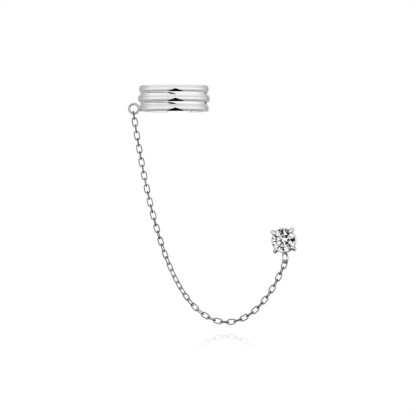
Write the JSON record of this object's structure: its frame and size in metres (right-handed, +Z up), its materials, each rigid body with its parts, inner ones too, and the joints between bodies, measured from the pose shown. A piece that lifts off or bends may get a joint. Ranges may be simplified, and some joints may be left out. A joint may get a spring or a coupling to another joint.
{
  "type": "ear chain earring",
  "caption": "Ear chain earring: a ribbed open ear cuff joined by a fine hanging cable chain to a prong-set round stone stud with a post.",
  "frame": {"origin": "on the post's axis, at the back of the stud's base plate, where it lies against the ear lobe", "axes": "+Z up as it hangs when worn and along the cuff's axis, +Y along the post towards the back of the lobe, the stone faces -Y"},
  "size_m": [0.0289, 0.0179, 0.0407],
  "materials": {
    "polished_silver": "mirror-polished rhodium-plated sterling silver",
    "chain_silver": "polished rhodium-plated sterling silver wire",
    "setting_silver": "polished rhodium-plated sterling silver",
    "clear_stone": "clear faceted cubic zirconia"
  },
  "bodies": {
    "root": {"ear_cuff": "polished_silver", "chain": "chain_silver", "stud_setting": "setting_silver", "stone": "clear_stone"}
  },
  "joints": []
}
